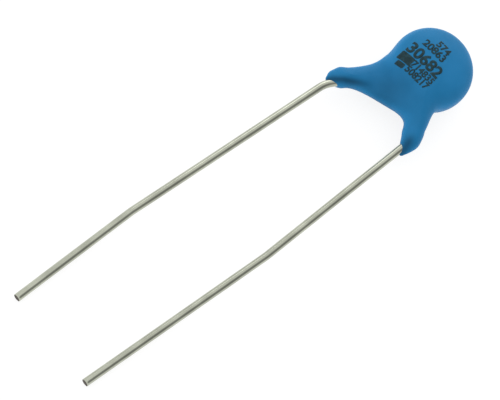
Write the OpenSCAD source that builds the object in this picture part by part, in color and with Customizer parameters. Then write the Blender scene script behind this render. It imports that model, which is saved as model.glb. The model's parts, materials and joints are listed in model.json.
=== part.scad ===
// Ceramic disc capacitor with two long wire leads, lying loose on a flat surface.
// The part is drawn about the ceramic disc's centre with the leads running toward -X in the
// disc's own plane, then tipped by rest_pitch so that the coating and both wire tips touch
// the surface. The origin is under the middle of the part, on that surface.

/* [Ceramic disc] */
// Diameter of the fired ceramic disc
disc_d = 5; // [4:0.1:7]
// Thickness of the ceramic disc
disc_t = 1.4; // [1:0.1:1.8]
// Bare ring of ceramic left round each electrode
margin_w = 0.3; // [0.2:0.05:0.6]
// Thickness of each fired silver electrode
silver_t = 0.03; // [0.02:0.01:0.06]

/* [Leads] */
// Diameter of the tinned wire
wire_d = 0.6; // [0.5:0.05:0.7]
// Nominal spacing of the two leads
pitch = 7.5; // [6.5:0.5:10]
// How far inside its nominal line the back lead starts
back_pinch = 0.21; // [0:0.01:0.4]
// How far inside its nominal line the front lead starts
front_pinch = 0.36; // [0:0.01:0.4]
// Straight reach of the back lead from the ceramic disc's centre to its tip
back_reach = 35.7; // [30:0.1:45]
// Straight reach of the front lead from the ceramic disc's centre to its tip
front_reach = 35.3; // [30:0.1:45]
// Angle of the back wire to the leads' direction, inside the coating
back_splay = 25.7; // [24:0.1:32]
// Angle of the front wire to the leads' direction, inside the coating
front_splay = 36.7; // [32:0.1:40]
// Outward stray of the back lead where it leaves the coating
back_stray = 0.9; // [0:0.1:3]
// Outward stray of the front lead where it leaves the coating
front_stray = 3.5; // [0:0.1:4]
// Distance from the disc's centre at which the back lead is bent a little inward
back_kink_at = 25.1; // [15:0.1:27]
// Distance from the disc's centre at which the front lead is bent a little inward
front_kink_at = 18.8; // [15:0.1:27]
// Angle of the back lead's small bend
back_kink = 3.5; // [0.5:0.1:6]
// Angle of the front lead's small bend
front_kink = 3.5; // [0.5:0.1:6]

/* [Solder] */
// Width of the solder fillet along each wire
solder_w = 1.5; // [1.2:0.05:1.8]
// Height of the solder fillet on the electrode
solder_h = 0.5; // [0.4:0.05:0.6]

/* [Coating] */
// Epoxy over the flat faces of the disc
face_film = 1.15; // [0.9:0.05:1.4]
// Epoxy round the edge of the disc
edge_film = 0.64; // [0.4:0.02:1]
// Squareness of the disc's rounded shoulder, 2 being an ellipse
shoulder = 2.6; // [2.2:0.1:4]
// Epoxy over the wires where they cross the disc
wire_film = 0.4; // [0.3:0.02:0.5]
// Epoxy round the back wire at the root of its leg
back_root_film = 0.27; // [0.2:0.01:0.7]
// Epoxy round the front wire at the root of its leg
front_root_film = 0.7; // [0.3:0.01:0.75]
// Epoxy along the back leg, up to just before its end
back_leg_film = 0.36; // [0.25:0.01:0.5]
// Epoxy along the front leg, up to just before its end
front_leg_film = 0.38; // [0.25:0.01:0.5]
// Epoxy at the end of the back leg
back_end_film = 0.22; // [0.1:0.01:0.35]
// Epoxy at the end of the front leg
front_end_film = 0.26; // [0.1:0.01:0.35]
// How far short of the back wire's knee its coated leg ends
back_bare = 0.76; // [0:0.02:1.2]
// How far the end of the back leg hangs to the outer side of its wire
back_lean = 0.38; // [0:0.01:0.4]
// How far the end of the back leg hangs below its wire
back_sag = 0.1; // [0:0.01:0.2]
// Length of the lip in which the coating ends on the back wire
back_lip = 0.38; // [0.2:0.01:0.8]
// Length of the lip in which the coating ends on the front wire
front_lip = 1.25; // [0.6:0.02:1.4]
// How far the back lip runs to the outer side
back_lap = 0.2; // [0:0.01:0.4]
// How far the front lip runs to the outer side
front_lap = 0.32; // [0:0.01:0.45]
// Radius of the back lip at its tip
back_tip_r = 0.17; // [0.1:0.01:0.28]
// Radius of the front lip at its tip
front_tip_r = 0.19; // [0.1:0.01:0.28]
// Thickness of the epoxy web between the two legs
web_t = 0.9; // [0.7:0.05:1.2]
// Thickness of the web where it leaves the disc
web_root_t = 1.3; // [1:0.1:1.7]
// Height of the neck over the mid-plane, before its hollows are filled
neck_h = 1.5; // [1.3:0.05:1.7]
// Distance from the disc's centre to the broad neck where the legs leave the disc
neck_at = 2.2; // [1.6:0.1:2.4]
// Half-width of the neck on the back lead's side
back_neck = 2.4; // [1.6:0.1:2.6]
// Half-width of the neck on the front lead's side
front_neck = 0.6; // [0.4:0.1:1.8]
// Reach of the web along the back leg, as a share of the leg
back_web = 0.85; // [0.7:0.01:0.9]
// Reach of the web along the front leg, as a share of the leg
front_web = 0.72; // [0.6:0.01:0.8]
// Softness of the hollow where the back leg runs into the disc
back_blend = 1.25; // [0.8:0.05:1.8]
// Softness of the hollow where the front leg runs into the disc
front_blend = 0.56; // [0.4:0.02:1.6]
// Softness of the hollow between each leg and the web
web_blend = 1.06; // [0.4:0.01:1.2]

/* [Hidden] */

wire_r = wire_d / 2;
disc_r = disc_d / 2;
silver_r = disc_r - margin_w;
seat = 0.04;                                  // solder film between a wire and its electrode
wire_z = disc_t / 2 + silver_t + seat + wire_r;  // height of a wire's centre over the mid-plane
past = 0.9;                                   // how far each wire runs past the disc's centre
crank_gap = 0.2;                              // how far outside the disc each crank starts
crank_at = disc_r + crank_gap;                // where each wire starts down to the mid-plane
crank_r = 0.8;                                // bend radius of the crank
land = 0.15;                                  // short straight between the crank and the knee
knee_r = 2.4;                                 // bend radius where a leg turns into a lead
kink_r = 6;                                   // bend radius of the small bend in a free lead
wire_fn = 32;
joint = 0.01;                                 // each straight stops this short of a bend

// One list per lead, read by the short functions below. The front leg's coating is centred
// on its wire, so it has no bare stretch, lean or sag.
BACK = [1, back_splay, back_stray, pitch / 2 - back_pinch, back_kink_at, back_kink, back_reach,
        back_root_film, back_leg_film, back_end_film, back_bare, back_lean, back_sag,
        back_lip, back_lap, back_tip_r];
FRONT = [-1, front_splay, front_stray, pitch / 2 - front_pinch, front_kink_at, front_kink,
         front_reach, front_root_film, front_leg_film, front_end_film, 0, 0, 0,
         front_lip, front_lap, front_tip_r];
function side(L) = L[0];
function splay(L) = L[1];
function stray(L) = L[2];
function knee_y(L) = L[3];
function kink_at(L) = L[4];
function kink(L) = L[5];
function lead_reach(L) = L[6];
function root_film(L) = L[7];
function leg_film(L) = L[8];
function end_film(L) = L[9];
function bare(L) = L[10];
function lean(L) = L[11];
function sag(L) = L[12];
function lip(L) = L[13];
function lap(L) = L[14];
function tip_r(L) = L[15];

// The knee is where the slanting leg line meets the lead's line, seen from above.
function knee_s(L) = knee_y(L) / sin(splay(L));
function knee_x(L) = knee_y(L) / tan(splay(L));
function knee_a(L) = splay(L) - stray(L);
function along(L) = [-cos(splay(L)), side(L) * sin(splay(L)), 0];
function outward(L) = [sin(splay(L)), side(L) * cos(splay(L)), 0];

// The crank is two equal bends with a straight between that bring a wire from wire_z to 0.
function crank_run(L) = knee_s(L) - knee_r * tan(knee_a(L) / 2) - land - crank_at;
function crank_a(L) =
    let (run = crank_run(L), rise = 2 * crank_r - wire_z)
    asin(2 * crank_r / norm([run, rise])) - atan2(rise, run);
function crank_len(L) = (wire_z - 2 * crank_r * (1 - cos(crank_a(L)))) / sin(crank_a(L));

// Straight lengths of a free lead before and after its small bend.
function free_len(L) = (kink_at(L) - knee_x(L)) / cos(stray(L))
    - knee_r * tan(knee_a(L) / 2) - kink_r * tan(kink(L) / 2);
function tip_len(L) = (lead_reach(L) - kink_at(L)) / cos(kink(L) - stray(L))
    - kink_r * tan(kink(L) / 2);
function kink_y(L) = knee_y(L) + (kink_at(L) - knee_x(L)) * tan(stray(L));

// ---- Outer skin of the epoxy ----
// film(p) is about the distance from p to the skin, negative inside. It joins a rounded
// disc, a tapering sleeve round each wire and a thin web, with soft hollows between them.
body_r = disc_r + edge_film;
body_h = disc_t / 2 + face_film;
end_run = 0.5;                                 // last stretch of a leg, where its epoxy thins
end_blend = 0.25;                              // softness between the stretches of a leg's end
flat_run = 0.4;                                // web and wire are level this far before a leg's end
web_flat = 0.07;                               // flat part of the web's edge, each side of its middle
web_edge = web_t / 2 - web_flat;               // rounding of the web's free edge
web_even_at = 2 * disc_r;                      // from here out the web is even

function soft(a, b, k) = let (h = max(k - abs(a - b), 0) / k) min(a, b) - h * h * k / 4;

function puck(p) =
    let (g = pow(pow(norm([p.x, p.y]) / body_r, shoulder)
               + pow(abs(p.z) / body_h, shoulder), 1 / shoulder))
    norm(p) * (1 - 1 / max(g, 0.000001));

// A rod is [start, end, radius at the start, radius at the end, form]. A form of 1 makes a
// straight taper and a form of 2 one that is rounded off toward its end.
function rod(p, c) =
    let (ab = c[1] - c[0], t = min(max((p - c[0]) * ab / (ab * ab), 0), 1))
    norm(p - c[0] - t * ab) - c[2] - (c[3] - c[2]) * pow(t, c[4]);

// The end of a coated leg seen from above, its distance from the disc's centre and its
// angle to the leads' direction.
function leg_end(L) = (knee_s(L) - bare(L)) * along(L) + lean(L) * outward(L);
function leg_s(L) = norm(leg_end(L));
function leg_a(L) = atan2(side(L) * leg_end(L).y, -leg_end(L).x);

// The four rods of a sleeve: over the disc, down the leg, to the leg's end and out to nothing.
// A leg's root stays within the neck's height.
function sleeve_rods(L) =
    let (u = along(L), face = [0, 0, -side(L) * wire_z],
         root_r = wire_r + root_film(L), leg_r = wire_r + leg_film(L), end_r = wire_r + end_film(L),
         root = crank_at * u - [0, 0, side(L) * min(wire_z, neck_h - root_r)],
         end = leg_end(L) - [0, 0, sag(L)], near = end - end_run * leg_end(L) / leg_s(L),
         tip = end + [-lip(L), side(L) * lap(L), 0])
    [[face - past * u, root, wire_r + wire_film, root_r, 1], [root, near, root_r, leg_r, 1],
     [near, end, leg_r, end_r, 1], [end, tip, end_r, tip_r(L), 2]];
back_rods = sleeve_rods(BACK);
front_rods = sleeve_rods(FRONT);
function sleeve(p, rods) =
    soft(soft(min(rod(p, rods[0]), rod(p, rods[1])), rod(p, rods[2]), end_blend),
         rod(p, rods[3]), end_blend);

// The legs' own numbers, worked out once.
back_s = leg_s(BACK);
front_s = leg_s(FRONT);
back_leg_a = leg_a(BACK);
front_leg_a = leg_a(FRONT);

// Height of a wire's centre at distance s from the disc's centre.
function wire_at(flank, end_s, s) =
    -flank * lookup(s, [[0, wire_z], [crank_at, wire_z], [end_s - flat_run, 0]]);

// Signed distance in the XY plane to a convex outline whose corners run counter-clockwise.
function outline(p, c) =
    let (n = len(c), e = [for (i = [0:n - 1]) c[(i + 1) % n] - c[i]],
         v = [for (q = c) p - q],
         g = [for (i = [0:n - 1]) v[i] - min(max(v[i] * e[i] / (e[i] * e[i]), 0), 1) * e[i]],
         d = sqrt(min([for (q = g) q * q])))
    min([for (i = [0:n - 1]) e[i].x * v[i].y - e[i].y * v[i].x]) > 0 ? -d : d;

// The web reaches from a broad neck on the disc to a point on each leg and thins on the way.
// It is twisted, so that on each side it meets that side's wire at the wire's own height, or
// as near to it as the neck's height allows.
function leg_point(L, share) = [share * leg_end(L).x, share * leg_end(L).y];
web_corners = [[-neck_at, back_neck], leg_point(BACK, back_web),
               leg_point(FRONT, front_web), [-neck_at, -front_neck]];

function web(p) =
    let (turn = (back_leg_a - atan2(p.y, -p.x)) / (back_leg_a + front_leg_a),
         share = min(max(turn, 0), 1), s = norm([p.x, p.y]),
         wires = (1 - share) * wire_at(1, back_s, s) + share * wire_at(-1, front_s, s),
         t = lookup(s, [[neck_at, web_root_t], [web_even_at, web_t]]), room = neck_h - t / 2,
         level = min(max(wires, -room), room),
         d = outline([p.x, p.y], web_corners) + web_edge,
         z = abs(p.z - level) - t / 2 + web_edge)
    norm([max(d, 0), max(z, 0)]) + min(max(d, z), 0) - web_edge;

function film(p) =
    let (w = web(p))
    soft(soft(puck(p), soft(sleeve(p, back_rods), w, web_blend), back_blend),
         soft(sleeve(p, front_rods), w, web_blend), front_blend);

// Distance from an inside point m to the skin in direction d.
function reach(m, d, t = 0, n = 0) =
    let (v = film(m + t * d))
    n > 40 || abs(v) < 0.0004 ? t - v : reach(m, d, t - 0.9 * v, n + 1);

// The skin is a mesh of upright fans. Each fan stands on a foot inside the epoxy. The feet
// run from the disc's centre out along one leg to its end and back, then along the other.
back_n = 22;
front_n = 19;
tip_n = 12;
rim_n = 24;
fan_n = 30;
back_a = 180 - back_leg_a;
front_a = front_leg_a - 180;
in_a = 1.5;                                   // fans toward the web open almost along -X
foot_share = 0.85;                            // feet stand nearer the mid-plane than the wire
tip_per_mm = 7;                               // degrees a web fan tips for each mm its foot is off it
web_crowd = 1.6;                              // how strongly ribs crowd to the middle, on the web
leg_crowd = 1.1;                              // and elsewhere

function foot(L, share) =
    let (s = share * leg_s(L))
    share * leg_end(L) + [0, 0, lookup(s, [[0, 0], [crank_at, -foot_share * side(L) * wire_z],
                                           [leg_s(L) - flat_run, -sag(L)]])];

FEET = [[0, 0, 0],
        for (i = [1:back_n]) foot(BACK, i / back_n),
        for (i = [1:front_n]) foot(FRONT, i / front_n)];

// Each fan as [number of its foot, direction, 1 if it opens toward the web].
FANS = [
    for (i = [0:rim_n]) [0, front_a + 90 + i / rim_n * (back_a - front_a - 180), 0],
    for (i = [1:back_n]) [i, back_a - 90, 0],
    for (i = [1:tip_n - 1]) [back_n, back_a - 90 + i / tip_n * (270 - in_a - back_a), 0],
    for (i = [back_n:-1:1]) [i, 180 - in_a, 1],
    for (i = [-1:1]) [0, 180 + i * in_a, 1],
    for (i = [1:front_n]) [back_n + i, 180 + in_a, 1],
    for (i = [1:tip_n - 1]) [back_n + front_n,
        180 + in_a + i / tip_n * (front_a + 270 - in_a), 0],
    for (i = [front_n:-1:1]) [back_n + i, front_a + 450, 0]];

// A fan's ribs run from straight up to straight down, closer together toward the web's edge.
function rib(fan, j) =
    let (q = 1 - 2 * j / fan_n, up = q < 0 ? -1 : 1, e0 = -tip_per_mm * fan[2] * FEET[fan[0]].z,
         e = e0 + up * pow(abs(q), fan[2] == 1 ? web_crowd : leg_crowd) * (90 - up * e0))
    [cos(e) * cos(fan[1]), cos(e) * sin(fan[1]), sin(e)];

module skin() {
    feet = len(FEET);
    fans = len(FANS);
    rows = fan_n - 1;
    points = [
        for (m = FEET) m + [0, 0, reach(m, [0, 0, 1])],
        for (m = FEET) m - [0, 0, reach(m, [0, 0, -1])],
        for (f = FANS, j = [1:rows]) let (m = FEET[f[0]], d = rib(f, j)) m + reach(m, d) * d];
    function at(i, j) = j == 0 ? FANS[i][0] : j > rows ? feet + FANS[i][0]
                      : 2 * feet + i * rows + j - 1;
    faces = [
        for (i = [0:fans - 1], j = [0:rows])
            let (k = (i + 1) % fans, a = at(i, j), b = at(k, j), c = at(k, j + 1), d = at(i, j + 1))
            each [if (a != b) [a, b, c], if (c != d) [a, c, d]]];
    polyhedron(points, faces, convexity = 6);
}

// ---- Wires ----
// run() and bend() draw one stretch of wire and put what follows on its end. A swelling of a
// few thousandths of a millimetre closes each joint between two stretches.
module swelling() {
    sphere(r = wire_r + 0.004, $fn = wire_fn);
}

module run(length) {
    translate([0, 0, joint]) cylinder(r = wire_r, h = length - 2 * joint, $fn = wire_fn);
    translate([0, 0, length]) children();
}

module bend(radius, angle, toward) {
    swelling();
    rotate([0, 0, toward]) {
        translate([radius, 0, 0]) rotate([90, 0, 180])
            rotate_extrude(angle = angle, $fn = 128)
                translate([radius, 0]) circle(wire_r, $fn = wire_fn);
        translate([radius * (1 - cos(angle)), 0, radius * sin(angle)])
            rotate([0, angle, 0]) rotate([0, 0, -toward]) {
                swelling();
                children();
            }
    }
}

// Everything on the front is drawn as on the back and turned over about the X axis.
module on_side(L) {
    rotate([side(L) > 0 ? 0 : 180, 0, 0]) children();
}

module wire(L) {
    on_side(L)
        rotate([0, 0, -splay(L)]) translate([past, 0, -wire_z]) rotate([0, -90, 0])
            run(past + crank_at)
            bend(crank_r, crank_a(L), 0)
            run(crank_len(L))
            bend(crank_r, crank_a(L), 180)
            run(land)
            bend(knee_r, knee_a(L), 270)
            run(free_len(L))
            bend(kink_r, kink(L), 270)
            run(tip_len(L));
}

// ---- Solder ----
// A fillet with a lens-shaped section runs along the wire from its inner end to the
// electrode's edge and is rounded off at both ends.
module fillet(L) {
    half = solder_w / 2;
    lens_r = (half * half + solder_h * solder_h) / (2 * solder_h);
    length = past + silver_r - half;
    module lens(from) {
        intersection() {
            translate([0, solder_h - lens_r]) circle(lens_r, $fn = 96);
            translate([from, 0]) square([half - from, solder_h + 1]);
        }
    }
    on_side(L)
        rotate([0, 0, -splay(L)]) translate([past, 0, -disc_t / 2 - silver_t]) rotate([180, 0, 0])
            union() {
                rotate([0, 0, -90]) rotate_extrude(angle = 180, $fn = 64) lens(0);
                rotate([90, 0, -90]) linear_extrude(length) lens(-half);
                translate([-length, 0, 0])
                    rotate([0, 0, 90]) rotate_extrude(angle = 180, $fn = 64) lens(0);
            }
}

module electrode(L) {
    on_side(L) translate([0, 0, -disc_t / 2 - silver_t])
        cylinder(r = silver_r, h = silver_t, $fn = 96);
}

module disc() {
    cylinder(r = disc_r, h = disc_t, center = true, $fn = 96);
}

// ---- Rest position ----
// The lowest skin point under the disc and the lower edge of the back lead's tip share a level.
// The skin is sampled under a grid behind and beside the disc's centre, and under the feet.
tip_x = back_reach;
low_step = disc_r / 8;
low_points = [
    for (i = [-12:2], j = [-2:6]) let (m = [i * low_step, j * low_step, -wire_z])
    if (film(m) < 0) m - [0, 0, reach(m, [0, 0, -1])],
    for (m = FEET) m - [0, 0, reach(m, [0, 0, -1])]];
function low_at(a) = min([for (p = low_points) p.z * cos(a) + p.x * sin(a)]);
function settle(a, n) = n == 0 ? a
    : settle(asin((-low_at(a) - wire_r * cos(a)) / tip_x), n - 1);
rest_pitch = settle(3, 4);
mid_x = (body_r - tip_x * cos(rest_pitch) - wire_r * sin(rest_pitch)) / 2;
mid_y = (kink_y(BACK) - kink_y(FRONT)) / 2;

module lying() {
    translate([-mid_x, -mid_y, -low_at(rest_pitch)]) rotate([0, -rest_pitch, 0]) children();
}

module ceramic_disc() {
    color("tan") lying() disc();
}

module back_electrode() {
    color("silver") lying() electrode(BACK);
}

module front_electrode() {
    color("silver") lying() electrode(FRONT);
}

module back_solder_joint() {
    color("lightgray") lying() difference() { fillet(BACK); wire(BACK); }
}

module front_solder_joint() {
    color("lightgray") lying() difference() { fillet(FRONT); wire(FRONT); }
}

module back_lead() {
    color("gainsboro") lying() wire(BACK);
}

module front_lead() {
    color("gainsboro") lying() wire(FRONT);
}

module epoxy_coating() {
    color("steelblue") lying() difference() {
        skin();
        disc();
        for (L = [BACK, FRONT]) {
            electrode(L);
            fillet(L);
            wire(L);
        }
    }
}

ceramic_disc();
back_electrode();
front_electrode();
back_solder_joint();
front_solder_joint();
back_lead();
front_lead();
epoxy_coating();
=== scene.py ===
import json
import math
import random

import bmesh
import bpy
import numpy as np
from mathutils import Matrix, Vector


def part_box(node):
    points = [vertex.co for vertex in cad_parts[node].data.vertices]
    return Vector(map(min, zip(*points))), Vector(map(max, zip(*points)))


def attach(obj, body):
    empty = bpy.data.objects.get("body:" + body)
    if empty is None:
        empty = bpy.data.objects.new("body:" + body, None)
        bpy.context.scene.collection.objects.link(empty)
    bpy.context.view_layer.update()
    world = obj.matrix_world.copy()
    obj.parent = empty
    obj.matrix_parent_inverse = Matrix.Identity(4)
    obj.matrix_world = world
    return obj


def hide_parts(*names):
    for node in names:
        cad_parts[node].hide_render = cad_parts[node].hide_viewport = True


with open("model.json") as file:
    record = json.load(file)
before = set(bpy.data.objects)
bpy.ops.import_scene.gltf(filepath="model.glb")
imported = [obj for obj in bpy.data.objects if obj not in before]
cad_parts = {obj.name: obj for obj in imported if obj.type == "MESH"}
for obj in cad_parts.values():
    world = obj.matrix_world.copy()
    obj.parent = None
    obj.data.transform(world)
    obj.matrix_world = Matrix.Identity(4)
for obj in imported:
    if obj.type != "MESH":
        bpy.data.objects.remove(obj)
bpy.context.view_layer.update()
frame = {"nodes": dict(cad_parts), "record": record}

# ---- Ceramic disc ----
# The heart of the part is a pressed and fired ceramic disc, dull and creamy brown, which
# the coating hides. The other pieces are drawn about its centre with the leads toward -X,
# and disc_frame takes them to where the part lies, tipped by rest_pitch.
mm = 0.001
disc_low, disc_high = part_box("ceramic_disc")
disc_middle = (disc_low + disc_high) / 2
disc_radius = (disc_high.y - disc_low.y) / 2
lead_pins = {pin["name"]: pin for pin in frame["record"]["mounts"]}
pin_axis = Vector(lead_pins["back_lead_pin"]["axis"])
rest_pitch = math.atan2(-pin_axis.z, -pin_axis.x)
rim_rise = 2 * disc_radius * math.sin(rest_pitch)
disc_thickness = (disc_high.z - disc_low.z - rim_rise) / math.cos(rest_pitch)
disc_frame = Matrix.Translation(disc_middle) @ Matrix.Rotation(-rest_pitch, 4, "Y")
clay_dark = (0.30, 0.19, 0.10)
clay_pale = (0.42, 0.29, 0.17)


def start_finish(name):
    """A new material with its shader, and short ways to add a node and to join two."""
    finish = bpy.data.materials.new(name)
    finish.use_nodes = True
    tree = finish.node_tree

    def add(kind, **settings):
        node = tree.nodes.new("ShaderNode" + kind)
        for key, value in settings.items():
            if hasattr(node, key):
                setattr(node, key, value)
            else:
                node.inputs[key.replace("_", " ")].default_value = value
        return node

    return finish, tree.nodes["Principled BSDF"], add, tree.links.new


def grain(add, join, scale, detail, stretch=None):
    """A noise pattern in the piece's own coordinates, scale features to the metre."""
    place = add("TexCoord")
    noise = add("TexNoise", Scale=scale, Detail=detail)
    source = place.outputs["Object"]
    if stretch:
        spread = add("Mapping")
        spread.inputs["Scale"].default_value = stretch
        join(source, spread.inputs["Vector"])
        source = spread.outputs["Vector"]
    join(source, noise.inputs["Vector"])
    return noise.outputs["Fac"]


def blend_colours(add, join, factor, low, high, start=0.35, end=0.65):
    """A colour that runs from low to high as factor goes from start to end."""
    ramp = add("ValToRGB")
    ramp.color_ramp.elements[0].position = start
    ramp.color_ramp.elements[1].position = end
    ramp.color_ramp.elements[0].color = (*low, 1)
    ramp.color_ramp.elements[1].color = (*high, 1)
    join(factor, ramp.inputs["Fac"])
    return ramp.outputs["Color"]


def vary(add, join, factor, low, high):
    """A number that runs from low to high as factor goes from 0 to 1."""
    span = add("MapRange")
    span.inputs["To Min"].default_value = low
    span.inputs["To Max"].default_value = high
    join(factor, span.inputs["Value"])
    return span.outputs["Result"]


def roughen(add, join, shader, factor, height):
    """Fine relief on a finish: height is how deep it is in metres."""
    bump = add("Bump", Distance=height)
    join(factor, bump.inputs["Height"])
    join(bump.outputs["Normal"], shader.inputs["Normal"])


def dress(node, finish):
    """Puts a finish on a CAD node that keeps its own shape."""
    solid = frame["nodes"][node]
    solid.data.materials.clear()
    solid.data.materials.append(finish)


fired_clay, shader, add, join = start_finish("fired_clay")
speckle = grain(add, join, scale=9000, detail=4)
join(blend_colours(add, join, speckle, clay_dark, clay_pale), shader.inputs["Base Color"])
join(vary(add, join, speckle, low=0.75, high=0.95), shader.inputs["Roughness"])
roughen(add, join, shader, speckle, height=0.01 * mm)
dress("ceramic_disc", fired_clay)

# ---- Silver electrodes ----
# Silver paste is screened on each face of the disc and fired to a thin matt film. The
# weave of the screen and the pores of the ceramic show in it.
silver_dark = (0.50, 0.49, 0.46)
silver_bright = (0.74, 0.73, 0.70)

fired_silver, shader, add, join = start_finish("fired_silver")
pores = grain(add, join, scale=14000, detail=2)
join(blend_colours(add, join, pores, silver_dark, silver_bright), shader.inputs["Base Color"])
shader.inputs["Metallic"].default_value = 1.0
join(vary(add, join, pores, low=0.4, high=0.6), shader.inputs["Roughness"])
roughen(add, join, shader, pores, height=0.004 * mm)
for node in ("back_electrode", "front_electrode"):
    dress(node, fired_silver)

# ---- Wire leads ----
# One hairpin of tinned wire makes both leads. Its ends lie on the disc's two faces, are
# cranked into one plane behind it and bend at the knees into long leads. It is cut last,
# which leaves a dark sheared face on each tip. Angles are in degrees.
wire_radius = lead_pins["back_lead_pin"]["dims"]["r_mm"] * mm
silver_and_solder = 0.07 * mm
wire_height = disc_thickness / 2 + silver_and_solder + wire_radius
past_middle = 0.9 * mm
crank_gap = 0.2 * mm
crank_start = disc_radius + crank_gap
crank_radius = 0.8 * mm
land = 0.15 * mm
knee_radius = 2.4 * mm
kink_radius = 6 * mm
LEADS = {
    "back_lead": {"side": 1, "knee_y": 3.54 * mm, "splay": 25.7, "stray": 0.9, "kink": 3.5},
    "front_lead": {"side": -1, "knee_y": 3.39 * mm, "splay": 36.7, "stray": 3.5, "kink": 3.5},
}
tin_dark = (0.41, 0.424, 0.350)
tin_bright = (0.51, 0.528, 0.438)
cut_dark = (0.03, 0.025, 0.02)
cut_pale = (0.12, 0.095, 0.08)


def leg_direction(lead):
    """The way a wire runs from the disc's centre to its knee."""
    splay = math.radians(lead["splay"])
    return Vector((-math.cos(splay), lead["side"] * math.sin(splay), 0))


def knee_distance(lead):
    """How far the corner of a wire's knee lies from the disc's centre."""
    return lead["knee_y"] / math.sin(math.radians(lead["splay"]))


def lead_corners(name, lead):
    """Corners of the lead's route about the disc's centre, each with its bend's radius."""
    out = leg_direction(lead)
    face = Vector((0, 0, -lead["side"] * wire_height))
    knee = knee_distance(lead)
    knee_turn = math.radians(lead["splay"] - lead["stray"])
    run = knee - knee_radius * math.tan(knee_turn / 2) - land - crank_start
    rise = 2 * crank_radius - wire_height
    turn = math.asin(2 * crank_radius / math.hypot(run, rise)) - math.atan2(rise, run)
    eased = crank_radius * math.tan(turn / 2)
    pin = lead_pins[name + "_pin"]
    to_disc = disc_frame.inverted()
    tip = to_disc @ Vector(pin["pos_m"])
    away = to_disc.to_3x3() @ Vector(pin["axis"])
    kink_turn = math.radians(lead["kink"])
    straight = pin["dims"]["length_mm"] * mm + kink_radius * math.tan(kink_turn / 2)
    return [
        (face - past_middle * out, 0),
        (face + (crank_start + eased) * out, crank_radius),
        ((crank_start + run - eased) * out, crank_radius),
        (knee * out, knee_radius),
        (tip - straight * away, kink_radius),
        (tip, 0),
    ]


def eased_route(corners, step):
    """Points along the corners with each corner rounded to its radius, about step apart."""
    stretches = []
    start = corners[0][0]
    for (before, _), (corner, radius), (after, _) in zip(corners, corners[1:], corners[2:]):
        arrive = (corner - before).normalized()
        leave = (after - corner).normalized()
        turn = arrive.angle(leave)
        reach = radius * math.tan(turn / 2)
        first = corner - reach * arrive
        centre = first + radius * (leave - arrive * math.cos(turn)).normalized()
        axis = arrive.cross(leave).normalized()
        stretches.append([start, first])
        bends = max(4, round(radius * turn / step))
        stretches.append([centre + Matrix.Rotation(turn * i / bends, 3, axis) @ (first - centre)
                          for i in range(bends + 1)])
        start = corner + reach * leave
    stretches.append([start, corners[-1][0]])
    route = []
    for stretch in stretches:
        if len(stretch) == 2:
            count = max(1, round((stretch[1] - stretch[0]).length / step))
            stretch = [stretch[0].lerp(stretch[1], i / count) for i in range(count + 1)]
        route += stretch if not route else stretch[1:]
    return route


def draw_wire(name, route):
    """A round wire along the route, slightly uneven from straightening, with sheared ends.

    Each wave of its unevenness has a rate in radians a millimetre and a phase along the wire
    and round it."""
    around, wave_count = 40, 6
    unevenness = 0.003
    rates, phases = (0.4, 1.6), (0, 6.3)
    worn_edge, edge_rise = 0.05 * wire_radius, 0.06 * wire_radius
    torn_ring, torn_rise = 0.35 * wire_radius, 0.02 * wire_radius
    shape = bmesh.new()
    uv = shape.loops.layers.uv.new("wire")
    chance = random.Random(name)
    waves = [(chance.uniform(*rates), chance.uniform(*phases), chance.uniform(*phases))
             for _ in range(wave_count)]
    across = Vector((0, 0, 1))
    rings = []
    travelled = 0.0
    for i, point in enumerate(route):
        ahead = route[min(i + 1, len(route) - 1)] - route[max(i - 1, 0)]
        ahead.normalize()
        across = (across - across.dot(ahead) * ahead).normalized()
        other = ahead.cross(across)
        travelled += (point - route[i - 1]).length if i else 0
        ring = []
        for k in range(around):
            turn = 2 * math.pi * k / around
            uneven = sum(math.sin(f * travelled / mm + a + math.cos(turn + b)) for f, a, b in waves)
            radius = wire_radius * (1 + unevenness * uneven)
            outward = math.cos(turn) * across + math.sin(turn) * other
            ring.append(shape.verts.new(point + radius * outward))
        rings.append((travelled, ring))
    for (t0, low), (t1, high) in zip(rings, rings[1:]):
        for k in range(around):
            n = (k + 1) % around
            side = shape.faces.new((low[k], low[n], high[n], high[k]))
            for loop, (u, v) in zip(side.loops, ((t0, k), (t0, k + 1), (t1, k + 1), (t1, k))):
                loop[uv].uv = (u / mm, v / around)
    for ring in (rings[0][1][::-1], rings[-1][1]):
        cap = shape.faces.new(ring)
        cap.normal_update()
        bmesh.ops.inset_individual(shape, faces=[cap], thickness=worn_edge, depth=edge_rise)
        torn = bmesh.ops.inset_individual(shape, faces=[cap], thickness=torn_ring, depth=torn_rise)
        middle = bmesh.ops.poke(shape, faces=[cap])
        for face in torn["faces"] + middle["faces"]:
            face.material_index = 1
    mesh = bpy.data.meshes.new(name)
    shape.to_mesh(mesh)
    shape.free()
    mesh.shade_smooth()
    return mesh


def put_in(name, data):
    """A new object in the scene, made of a mesh, a lens or a lamp."""
    made = bpy.data.objects.new(name, data)
    bpy.context.scene.collection.objects.link(made)
    return made


tinned, shader, add, join = start_finish("tinned_wire")
wire_uv = add("UVMap", uv_map="wire")
drawn_out = add("Mapping")
drawn_out.inputs["Scale"].default_value = (0.6, 26, 1)
join(wire_uv.outputs["UV"], drawn_out.inputs["Vector"])
die_lines = add("TexNoise", Scale=1.0, Detail=4.0)
join(drawn_out.outputs["Vector"], die_lines.inputs["Vector"])
dull = grain(add, join, scale=700, detail=4)
join(blend_colours(add, join, dull, tin_dark, tin_bright), shader.inputs["Base Color"])
shader.inputs["Metallic"].default_value = 1.0
join(vary(add, join, die_lines.outputs["Fac"], low=0.06, high=0.20), shader.inputs["Roughness"])
roughen(add, join, shader, die_lines.outputs["Fac"], height=0.0015 * mm)

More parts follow.
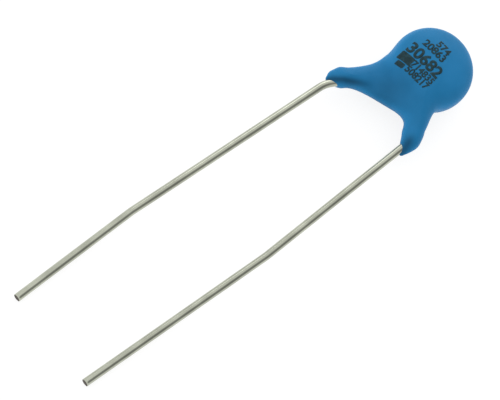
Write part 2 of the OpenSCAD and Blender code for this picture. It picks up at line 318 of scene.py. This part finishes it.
sheared, shader, add, join = start_finish("sheared_end")
tear = grain(add, join, scale=9000, detail=3, stretch=(1, 4, 1))
join(blend_colours(add, join, tear, cut_dark, cut_pale), shader.inputs["Base Color"])
shader.inputs["Metallic"].default_value = 0.7
join(vary(add, join, tear, low=0.4, high=0.7), shader.inputs["Roughness"])
roughen(add, join, shader, tear, height=0.01 * mm)

for name, lead in LEADS.items():
    route = eased_route(lead_corners(name, lead), step=0.2 * mm)
    mesh = draw_wire("drawn_" + name, route)
    mesh.transform(disc_frame)
    mesh.materials.append(tinned)
    mesh.materials.append(sheared)
    wire = put_in("drawn_" + name, mesh)
    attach(wire, "root")
    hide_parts(name)

# ---- Solder joints ----
# Each wire end is dipped with the disc in solder, which draws up along the wire in a bright
# smooth fillet and freezes with a faint frosting.
solder_dark = (0.48, 0.48, 0.50)
solder_bright = (0.66, 0.66, 0.67)

frozen_solder, shader, add, join = start_finish("frozen_solder")
frost = grain(add, join, scale=5000, detail=3)
join(blend_colours(add, join, frost, solder_dark, solder_bright), shader.inputs["Base Color"])
shader.inputs["Metallic"].default_value = 1.0
join(vary(add, join, frost, low=0.15, high=0.35), shader.inputs["Roughness"])
roughen(add, join, shader, frost, height=0.004 * mm)
for node in ("back_solder_joint", "front_solder_joint"):
    dress(node, frozen_solder)

# ---- Epoxy coating ----
# The disc is dipped in thick blue epoxy as far as the knees of the leads. The skin rounds
# off the disc, thins along the legs, hangs as a web between them and ends where the wires
# come out. It is worked out as the surface where film() is nothing.
edge_film = 0.64 * mm
face_film = 1.15 * mm
body_radius = disc_radius + edge_film
body_height = disc_thickness / 2 + face_film
shoulder = 2.6
wire_film = 0.4 * mm
end_run = 0.5 * mm
end_blend = 0.25 * mm
flat_run = 0.4 * mm
web_thickness = 0.9 * mm
web_root_thickness = 1.3 * mm
neck_height = 1.5 * mm
web_even_at = 2 * disc_radius
web_flat = 0.07 * mm
web_rounding = web_thickness / 2 - web_flat
web_blend = 1.06 * mm
neck_x = -2.2 * mm
straight_taper, rounded_taper = 1, 2
# Each leg in millimetres: the epoxy at its root, along it and at its end; how far short of
# the knee it ends, leans outward and sags; its lip's length, lap and tip radius; the hollow
# where it meets the disc; and its side of the neck. The web's share is of the leg's length.
LEADS["back_lead"] |= {"root": 0.28, "leg": 0.42, "end": 0.20, "bare": 0.76, "lean": 0.37,
                       "sag": 0.1, "lip": 0.38, "lap": 0.14, "tip": 0.17, "blend": 1.42,
                       "neck": 2.4, "web_share": 0.85}
LEADS["front_lead"] |= {"root": 0.7, "leg": 0.44, "end": 0.34, "bare": 0, "lean": 0,
                        "sag": 0, "lip": 1.2, "lap": 0.38, "tip": 0.19, "blend": 0.58,
                        "neck": 0.6, "web_share": 0.74}
epoxy_dark = (0.015, 0.172, 0.376)
epoxy_bright = (0.019, 0.189, 0.412)
epoxy_gloss = 0.09


def place_sleeve(lead):
    """The rods of epoxy on one wire: over the disc, down the leg, to its end and the lip."""
    along = leg_direction(lead)
    outward = Vector((lead["side"] * along.y, -lead["side"] * along.x, 0))
    leg = (knee_distance(lead) - lead["bare"] * mm) * along + lead["lean"] * mm * outward
    radius = {at: wire_radius + lead[at] * mm for at in ("root", "leg", "end")}
    face = Vector((0, 0, -lead["side"] * wire_height))
    root_height = min(wire_height, neck_height - radius["root"])
    root = crank_start * along - Vector((0, 0, lead["side"] * root_height))
    end = leg - Vector((0, 0, lead["sag"] * mm))
    near = end - end_run * leg.normalized()
    tip = end + Vector((-lead["lip"] * mm, lead["side"] * lead["lap"] * mm, 0))
    inner = face - past_middle * along
    lead["coated_leg"] = leg
    lead["coated_angle"] = math.degrees(math.atan2(lead["side"] * leg.y, -leg.x))
    lead["rods"] = [
        (inner, root, wire_radius + wire_film, radius["root"], straight_taper),
        (root, near, radius["root"], radius["leg"], straight_taper),
        (near, end, radius["leg"], radius["end"], straight_taper),
        (end, tip, radius["end"], lead["tip"] * mm, rounded_taper),
    ]


for lead in LEADS.values():
    place_sleeve(lead)


def length_of(v):
    """The length of each row of v."""
    return np.sqrt((v * v).sum(-1))


def soft_join(a, b, reach):
    """The lower of two distances, with a hollow of that reach between them."""
    h = np.maximum(reach - np.abs(a - b), 0) / reach
    return np.minimum(a, b) - h * h * reach / 4


def coated_disc(p):
    """About the distance to the coated disc, a round body with squarish shoulders."""
    round_part = (length_of(p[:, :2]) / body_radius) ** shoulder
    flat_part = (np.abs(p[:, 2]) / body_height) ** shoulder
    grown = np.maximum((round_part + flat_part) ** (1 / shoulder), 1e-6)
    return length_of(p) * (1 - 1 / grown)


def rod(p, start, end, start_radius, end_radius, taper):
    """About the distance to a rod whose radius changes evenly or, if rounded, late."""
    start, end = np.array(start), np.array(end)
    t = np.clip((p - start) @ (end - start) / ((end - start) @ (end - start)), 0, 1)
    nearest = start + t[:, None] * (end - start)
    return length_of(p - nearest) - start_radius - (end_radius - start_radius) * t ** taper


def sleeve(p, lead):
    """The epoxy on one wire, its four rods run together."""
    over, down, last, lip = (rod(p, *r) for r in lead["rods"])
    return soft_join(soft_join(np.minimum(over, down), last, end_blend), lip, end_blend)


def wire_level(lead, s):
    """Height of a wire's middle at the distance s from the disc's centre."""
    level_from = lead["coated_leg"].length - flat_run
    return -lead["side"] * np.interp(s, [0, crank_start, level_from], [wire_height, wire_height, 0])


def web(p):
    """Distance to the twisted sheet between the legs, which meets each wire at its height."""
    back, front = LEADS["back_lead"], LEADS["front_lead"]
    corners = [(neck_x, back["neck"] * mm)]
    corners += [tuple(lead["web_share"] * lead["coated_leg"].xy) for lead in (back, front)]
    corners.append((neck_x, -front["neck"] * mm))
    turn = back["coated_angle"] - np.degrees(np.arctan2(p[:, 1], -p[:, 0]))
    share = np.clip(turn / (back["coated_angle"] + front["coated_angle"]), 0, 1)
    s = length_of(p[:, :2])
    thickness = np.interp(s, [-neck_x, web_even_at], [web_root_thickness, web_thickness])
    room = neck_height - thickness / 2
    level = np.clip((1 - share) * wire_level(back, s) + share * wire_level(front, s), -room, room)
    nearest = np.full(len(p), np.inf)
    inside = np.full(len(p), np.inf)
    for i in range(4):
        a, b = np.array(corners[i]), np.array(corners[(i + 1) % 4])
        v, e = p[:, :2] - a, b - a
        nearest = np.minimum(nearest, length_of(v - np.clip(v @ e / (e @ e), 0, 1)[:, None] * e))
        inside = np.minimum(inside, e[0] * v[:, 1] - e[1] * v[:, 0])
    edge = np.where(inside > 0, -nearest, nearest) + web_rounding
    flat = np.abs(p[:, 2] - level) - thickness / 2 + web_rounding
    beyond = np.sqrt(np.maximum(edge, 0) ** 2 + np.maximum(flat, 0) ** 2)
    return beyond + np.minimum(np.maximum(edge, flat), 0) - web_rounding


def film(p):
    """About the distance to the skin at the points p, negative inside the epoxy."""
    sheet = web(p)
    skin = coated_disc(p)
    for lead in LEADS.values():
        leg = soft_join(sleeve(p, lead), sheet, web_blend)
        skin = soft_join(skin, leg, lead["blend"] * mm)
    return skin


def reach_skin(start, direction):
    """Points on the skin reached from inside points along their directions."""
    strides, caution = 60, 0.9
    t = np.zeros(len(start))
    for _ in range(strides):
        t -= caution * film(start + t[:, None] * direction)
    return start + t[:, None] * direction


def dip_coat():
    """The skin as upright fans of ribs that stand on feet along the disc and both legs."""
    steps = {"back_lead": 60, "front_lead": 52}
    tip_steps, rim_steps, ribs = 27, 72, 84
    foot_depth = 0.85
    feet = [np.zeros(3)]
    first = {}
    for name, lead in LEADS.items():
        first[name] = len(feet)
        leg = lead["coated_leg"]
        for i in range(1, steps[name] + 1):
            share = i / steps[name]
            z = np.interp(share * leg.length, [0, crank_start, leg.length - flat_run],
                          [0, -foot_depth * lead["side"] * wire_height, -lead["sag"] * mm])
            feet.append(np.array(share * leg) + [0, 0, z])
    feet = np.array(feet)

    # The fans go once round the outline, and headings are in degrees from +X. Each fan is
    # its foot, its heading and whether it looks into the web, 1, or not, 0.
    inward = 1.5
    back_way = 180 - LEADS["back_lead"]["coated_angle"]
    front_way = LEADS["front_lead"]["coated_angle"] - 180
    back_feet = range(first["back_lead"], first["back_lead"] + steps["back_lead"])
    front_feet = range(first["front_lead"], first["front_lead"] + steps["front_lead"])
    rim_turn = back_way - front_way - 180
    back_turn = 270 - inward - back_way
    front_turn = front_way + 270 - inward
    fans = [(0, front_way + 90 + i / rim_steps * rim_turn, 0) for i in range(rim_steps + 1)]
    fans += [(foot, back_way - 90, 0) for foot in back_feet]
    fans += [(back_feet[-1], back_way - 90 + i / tip_steps * back_turn, 0)
             for i in range(1, tip_steps)]
    fans += [(foot, 180 - inward, 1) for foot in reversed(back_feet)]
    fans += [(0, 180 + i * inward, 1) for i in (-1, 0, 1)]
    fans += [(foot, 180 + inward, 1) for foot in front_feet]
    fans += [(front_feet[-1], 180 + inward + i / tip_steps * front_turn, 0)
             for i in range(1, tip_steps)]
    fans += [(foot, front_way + 450, 0) for foot in reversed(front_feet)]

    # A fan's ribs spread from straight up to straight down and crowd toward a middle one.
    # That one is level or, into the web, tips toward the disc's plane by web_dip degrees
    # for each millimetre that its foot lies off it.
    web_dip = 7
    crowding, web_crowding = 1.1, 1.6
    foot = np.array([fan[0] for fan in fans])
    heading = np.radians([fan[1] for fan in fans])
    to_web = np.array([fan[2] for fan in fans])
    middle = -web_dip * to_web * feet[foot, 2] / mm
    rank = 1 - 2 * np.arange(1, ribs) / ribs
    power = np.where(to_web == 1, web_crowding, crowding)[:, None]
    side = np.sign(rank)[None, :]
    tilt = middle[:, None] + side * np.abs(rank)[None, :] ** power * (90 - side * middle[:, None])
    tilt = np.radians(tilt)
    direction = np.stack([np.cos(tilt) * np.cos(heading)[:, None],
                          np.cos(tilt) * np.sin(heading)[:, None], np.sin(tilt)], -1)
    start = np.repeat(feet[foot], ribs - 1, 0)
    up = np.tile([0.0, 0, 1], (len(feet), 1))
    points = np.concatenate([reach_skin(feet, up), reach_skin(feet, -up),
                             reach_skin(start, direction.reshape(-1, 3))])

    def at(i, j):
        if j == 0:
            return int(foot[i])
        if j == ribs:
            return len(feet) + int(foot[i])
        return 2 * len(feet) + i * (ribs - 1) + j - 1

    faces = []
    for i in range(len(fans)):
        k = (i + 1) % len(fans)
        for j in range(ribs):
            corners = [at(i, j), at(i, j + 1), at(k, j + 1), at(k, j)]
            faces.append([c for n, c in enumerate(corners) if c != corners[n - 1]])
    mesh = bpy.data.meshes.new("dipped_coating")
    mesh.from_pydata(points.tolist(), [], faces)
    mesh.update()
    mesh.shade_smooth()
    return mesh


def fade(x, start, end):
    """Rises smoothly from 0 at start to 1 at end."""
    t = np.clip((x - start) / (end - start), 0, 1)
    return t * t * (3 - 2 * t)


def paint_light_and_shade(mesh):
    """Stores the painted shade and highlight at each point of the skin, 1 being even.

    It paints shade in streaks along the legs toward their ends and round the web by the neck,
    and paints a highlight on the rims, where the skin's normal turns from straight up or down.
    A streak has its start, its end and its half-width in millimetres and its first shade."""
    shade_streaks = [((-6.95, 3.6), (-4.1, 1.15), 0.24, 0.56), ((-5.7, -3.72), (-4.2, -3.1), 0.36, 0.52)]
    streak_fades_from = 0.4
    web_x, web_y, web_reach, web_fall, web_shade = -3.9, 0.4, 1.3, 0.7, 0.28
    painted_rim_highlight, rim_edge, rim_face = 0.34, 0.2, 0.85
    skin = np.array([v.co for v in mesh.vertices]) / mm
    level = np.array([n.vector for n in mesh.vertex_normals])[:, 2]
    depth = np.ones(len(skin))
    for start, end, half_width, shade in shade_streaks:
        start, way = np.array(start), np.array(end) - start
        along = (skin[:, :2] - start) @ way / (way @ way)
        aside = length_of(skin[:, :2] - start - np.clip(along, 0, 1)[:, None] * way)
        left = 1 - fade(along, streak_fades_from, 1)
        depth *= 1 - shade * left * np.exp(-(aside / half_width) ** 2)
    from_web = ((skin[:, 0] - web_x) / web_reach) ** 2 + ((skin[:, 1] - web_y) / web_reach) ** 2
    depth *= 1 - web_shade * np.exp(-web_fall * from_web)
    depth *= 1 + painted_rim_highlight * (1 - fade(np.abs(level), rim_edge, rim_face))
    shades = mesh.attributes.new("depth", "FLOAT", "POINT")
    shades.data.foreach_set("value", depth)


blue_epoxy, shader, add, join = start_finish("blue_epoxy")
cloud = grain(add, join, scale=500, detail=2)
colour = blend_colours(add, join, cloud, epoxy_dark, epoxy_bright)
# The base colour is scaled by the painted shade on the legs and web and the painted highlight on
# the rims.
depth = add("Attribute", attribute_name="depth")
shaded_colour = add("VectorMath", operation="SCALE")
join(colour, shaded_colour.inputs[0])
join(depth.outputs["Fac"], shaded_colour.inputs["Scale"])
join(shaded_colour.outputs["Vector"], shader.inputs["Base Color"])
flow = grain(add, join, scale=2500, detail=2)
join(vary(add, join, flow, low=0.36, high=0.48), shader.inputs["Roughness"])
shader.inputs["Specular IOR Level"].default_value = epoxy_gloss
roughen(add, join, shader, flow, height=0.004 * mm)

mesh = dip_coat()
# Paints shade and highlight onto the skin, for the epoxy's colour.
paint_light_and_shade(mesh)
mesh.transform(disc_frame)
mesh.materials.append(blue_epoxy)
coating = put_in("dipped_coating", mesh)
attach(coating, "root")
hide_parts("epoxy_coating")

# ---- Stamped marks ----
# Plain numerals and two blocks, generic marks a little soft and worn, are stamped on the
# coating's front in thin dark ink that follows the skin. Each row of numerals has its size
# and middle, and each block its middle and size, in millimetres.
ink_height = 0.012 * mm
ink_depth = 0.03 * mm
stamp_turn = math.radians(6)
NUMERALS = [
    ("574", 0.80, -0.50, 1.14),
    ("20863", 0.82, -0.80, 0.48),
    ("30682", 1.26, -0.78, -0.54),
    ("714835", 0.70, -0.18, -1.34),
    ("508217", 0.70, -0.22, -1.90),
]
BLOCKS = [(-1.78, -1.44, 1.12, 0.68), (-1.76, -2.02, 0.66, 0.36)]
ink_dark = (0.007, 0.030, 0.038)
ink_worn = (0.015, 0.058, 0.080)
ink_gloss = 0.2


def cut_numerals(shape, text, size, x, y):
    """A row of numerals with slightly swollen strokes, drawn in millimetres."""
    swelling, half_height = 0.035 * size, 0.35 * size
    letters = bpy.data.curves.new("numerals", "FONT")
    letters.body = text
    letters.align_x = "CENTER"
    letters.size = size
    letters.offset = swelling
    letters.resolution_u = 4
    holder = bpy.data.objects.new("numerals", letters)
    flat = bpy.data.meshes.new_from_object(holder)
    flat.transform(Matrix.Translation((x, y - half_height, 0)))
    shape.from_mesh(flat)
    bpy.data.objects.remove(holder)
    bpy.data.meshes.remove(flat)


def cut_block(shape, x, y, width, height):
    """A flat rectangle with clipped corners, drawn in millimetres."""
    clip = 0.05
    w, h = width / 2, height / 2
    points = [(w - clip, -h), (w, clip - h), (w, h - clip), (w - clip, h),
              (clip - w, h), (-w, h - clip), (-w, clip - h), (clip - w, -h)]
    shape.faces.new([shape.verts.new((x + u, y + v, 0)) for u, v in points])


def cut_fine(shape, limit):
    """Halves every edge over the limit and joins its middle to the corners that face it."""
    bmesh.ops.triangulate(shape, faces=shape.faces)
    while long := [e for e in shape.edges if e.calc_length() > limit]:
        for edge in sorted(long, key=lambda e: -e.calc_length()):
            facing = [(f, next(v for v in f.verts if v not in edge.verts)) for f in edge.link_faces]
            middle = bmesh.utils.edge_split(edge, edge.verts[0], 0.5)[1]
            for face, corner in facing:
                bmesh.utils.face_split(face, middle, corner)


def stamp_marks():
    """The marks drawn flat in millimetres, then laid on the skin as a thin closed film of ink."""
    shape = bmesh.new()
    for row in NUMERALS:
        cut_numerals(shape, *row)
    for block in BLOCKS:
        cut_block(shape, *block)
    bmesh.ops.remove_doubles(shape, verts=shape.verts, dist=0.001)
    cut_fine(shape, limit=0.12)
    turned = Matrix.Rotation(stamp_turn, 2)
    spots = [turned @ v.co.xy * mm for v in shape.verts]
    starts = np.array([(spot.y, -spot.x, 0) for spot in spots])
    skin = reach_skin(starts, np.tile([0.0, 0, 1], (len(starts), 1)))
    top = list(shape.verts)
    for vertex, place in zip(top, skin):
        vertex.co = Vector(place) + Vector((0, 0, ink_height))
    edge = [e for e in shape.edges if e.is_boundary]
    faces = list(shape.faces)
    below = {v: shape.verts.new(v.co - Vector((0, 0, ink_height + ink_depth))) for v in top}
    for face in faces:
        shape.faces.new([below[v] for v in reversed(face.verts)])
    for e in edge:
        a, b = e.verts
        shape.faces.new((a, b, below[b], below[a]))
    bmesh.ops.recalc_face_normals(shape, faces=shape.faces)
    mesh = bpy.data.meshes.new("stamped_marks")
    shape.to_mesh(mesh)
    shape.free()
    return mesh


dark_ink, shader, add, join = start_finish("dark_ink")
wear = grain(add, join, scale=3500, detail=4)
join(blend_colours(add, join, wear, ink_dark, ink_worn, start=0.4, end=0.72),
     shader.inputs["Base Color"])
join(vary(add, join, wear, low=0.45, high=0.65), shader.inputs["Roughness"])
shader.inputs["Specular IOR Level"].default_value = ink_gloss
roughen(add, join, shader, wear, height=0.004 * mm)

mesh = stamp_marks()
mesh.transform(disc_frame)
mesh.materials.append(dark_ink)
marks = put_in("stamped_marks", mesh)
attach(marks, "root")

# ---- Floor and backdrop ----
# The part lies on a plain pale sheet that carries on to the horizon. Seen by the camera or
# in gloss the sheet is lifted to nearly white, and it keeps the part's soft shadow.
sheet_size = 6
sheet_tone = (0.8, 0.8, 0.8, 1)
shadow_tone = (0.25, 0.25, 0.25, 1)
white = (1, 1, 1, 1)

bpy.ops.mesh.primitive_plane_add(size=sheet_size)
floor = bpy.context.object
floor.name = "floor"
sheet, shader, add, join = start_finish("pale_sheet")
shader.inputs["Base Color"].default_value = sheet_tone
shader.inputs["Roughness"].default_value = 0.9
shadowed = add("BsdfDiffuse", Color=shadow_tone)
lift = add("Emission", Color=white, Strength=0.82)
shown = add("AddShader")
join(shadowed.outputs[0], shown.inputs[0])
join(lift.outputs[0], shown.inputs[1])
path = add("LightPath")
seen = add("Math", operation="MAXIMUM")
join(path.outputs["Is Camera Ray"], seen.inputs[0])
join(path.outputs["Is Glossy Ray"], seen.inputs[1])
choose = add("MixShader")
join(seen.outputs[0], choose.inputs[0])
join(shader.outputs[0], choose.inputs[1])
join(shown.outputs[0], choose.inputs[2])
join(choose.outputs[0], sheet.node_tree.nodes["Material Output"].inputs["Surface"])
floor.data.materials.append(sheet)

# ---- Camera ----
# A long lens looks down on the printed side, over the wire tips. Its angles and its aim are
# measured about the part, before disc_frame tips it.
azimuth = math.radians(-79.0)
elevation = math.radians(69.0)
roll = math.radians(43.6)
camera_distance = 283.1 * mm
aim = Vector((-17.343, -0.349, 0)) * mm
aim_up, aim_left = 0.0458 * mm, 0.0170 * mm
back = Vector((math.sin(azimuth) * math.cos(elevation),
               -math.cos(azimuth) * math.cos(elevation), math.sin(elevation)))
level = Vector((math.cos(azimuth), math.sin(azimuth), 0))
upright = back.cross(level)
picture_right = math.cos(roll) * level + math.sin(roll) * upright
picture_up = -math.sin(roll) * level + math.cos(roll) * upright
aim += picture_up * aim_up - picture_right * aim_left
stand = Matrix((picture_right, picture_up, back)).transposed().to_4x4()
stand.translation = aim + back * camera_distance
lens = bpy.data.cameras.new("camera")
lens.sensor_width = 36
lens.lens = 285.4
lens.clip_start = 0.01
lens.clip_end = 10
camera = put_in("camera", lens)
camera.matrix_world = disc_frame @ stand
bpy.context.scene.camera = camera

# ---- Lamps ----
# A white tent lights the part evenly from all sides. A dark gap in it mirrors as a dark line
# where each wire's side leans line_lean from straight up, toward the front lead's side. One
# broad softbox stands beyond the disc, on the back lead's side.
tent_light = 1.0
gap_light = 0.31
gap_inner, gap_outer = math.radians(10), math.radians(42)
line_lean = math.radians(24)
to_part = disc_frame.to_3x3()
line_faces = Vector((0, -math.sin(line_lean), math.cos(line_lean)))
gap_way = to_part @ (2 * back.dot(line_faces) * line_faces - back)
key_distance = 0.5
key_rise = 0.45
key_to_right = 0.4

tent = bpy.data.worlds.new("tent")
tent.use_nodes = True
bpy.context.scene.world = tent
nodes, join = tent.node_tree.nodes, tent.node_tree.links.new
cloth = nodes["Background"]
cloth.inputs["Color"].default_value = white
way = nodes.new("ShaderNodeTexCoord")
facing = nodes.new("ShaderNodeVectorMath")
facing.operation = "DOT_PRODUCT"
facing.inputs[1].default_value = gap_way
join(way.outputs["Generated"], facing.inputs[0])
fall = nodes.new("ShaderNodeMapRange")
fall.interpolation_type = "SMOOTHSTEP"
fall.inputs["From Min"].default_value = math.cos(gap_outer)
fall.inputs["From Max"].default_value = math.cos(gap_inner)
fall.inputs["To Min"].default_value = tent_light
fall.inputs["To Max"].default_value = gap_light
join(facing.outputs["Value"], fall.inputs["Value"])
join(fall.outputs["Result"], cloth.inputs["Strength"])
backdrop = nodes.new("ShaderNodeBackground")
backdrop.inputs["Color"].default_value = white
path = nodes.new("ShaderNodeLightPath")
choose = nodes.new("ShaderNodeMixShader")
join(path.outputs["Is Camera Ray"], choose.inputs[0])
join(cloth.outputs[0], choose.inputs[1])
join(backdrop.outputs[0], choose.inputs[2])
join(choose.outputs[0], nodes["World Output"].inputs["Surface"])

key_way = to_part @ (picture_up + key_to_right * picture_right)
key_way.z = 0
key_way = key_way.normalized() + Vector((0, 0, key_rise))
key = bpy.data.lights.new("key", "AREA")
key.shape = "RECTANGLE"
key.size = 0.6
key.size_y = 0.35
key.energy = 0.8
softbox = put_in("key", key)
softbox.location = disc_middle + key_way.normalized() * key_distance
softbox.rotation_mode = "QUATERNION"
softbox.rotation_quaternion = (-key_way).to_track_quat("-Z", "Y")

bpy.context.scene.view_settings.view_transform = "Standard"
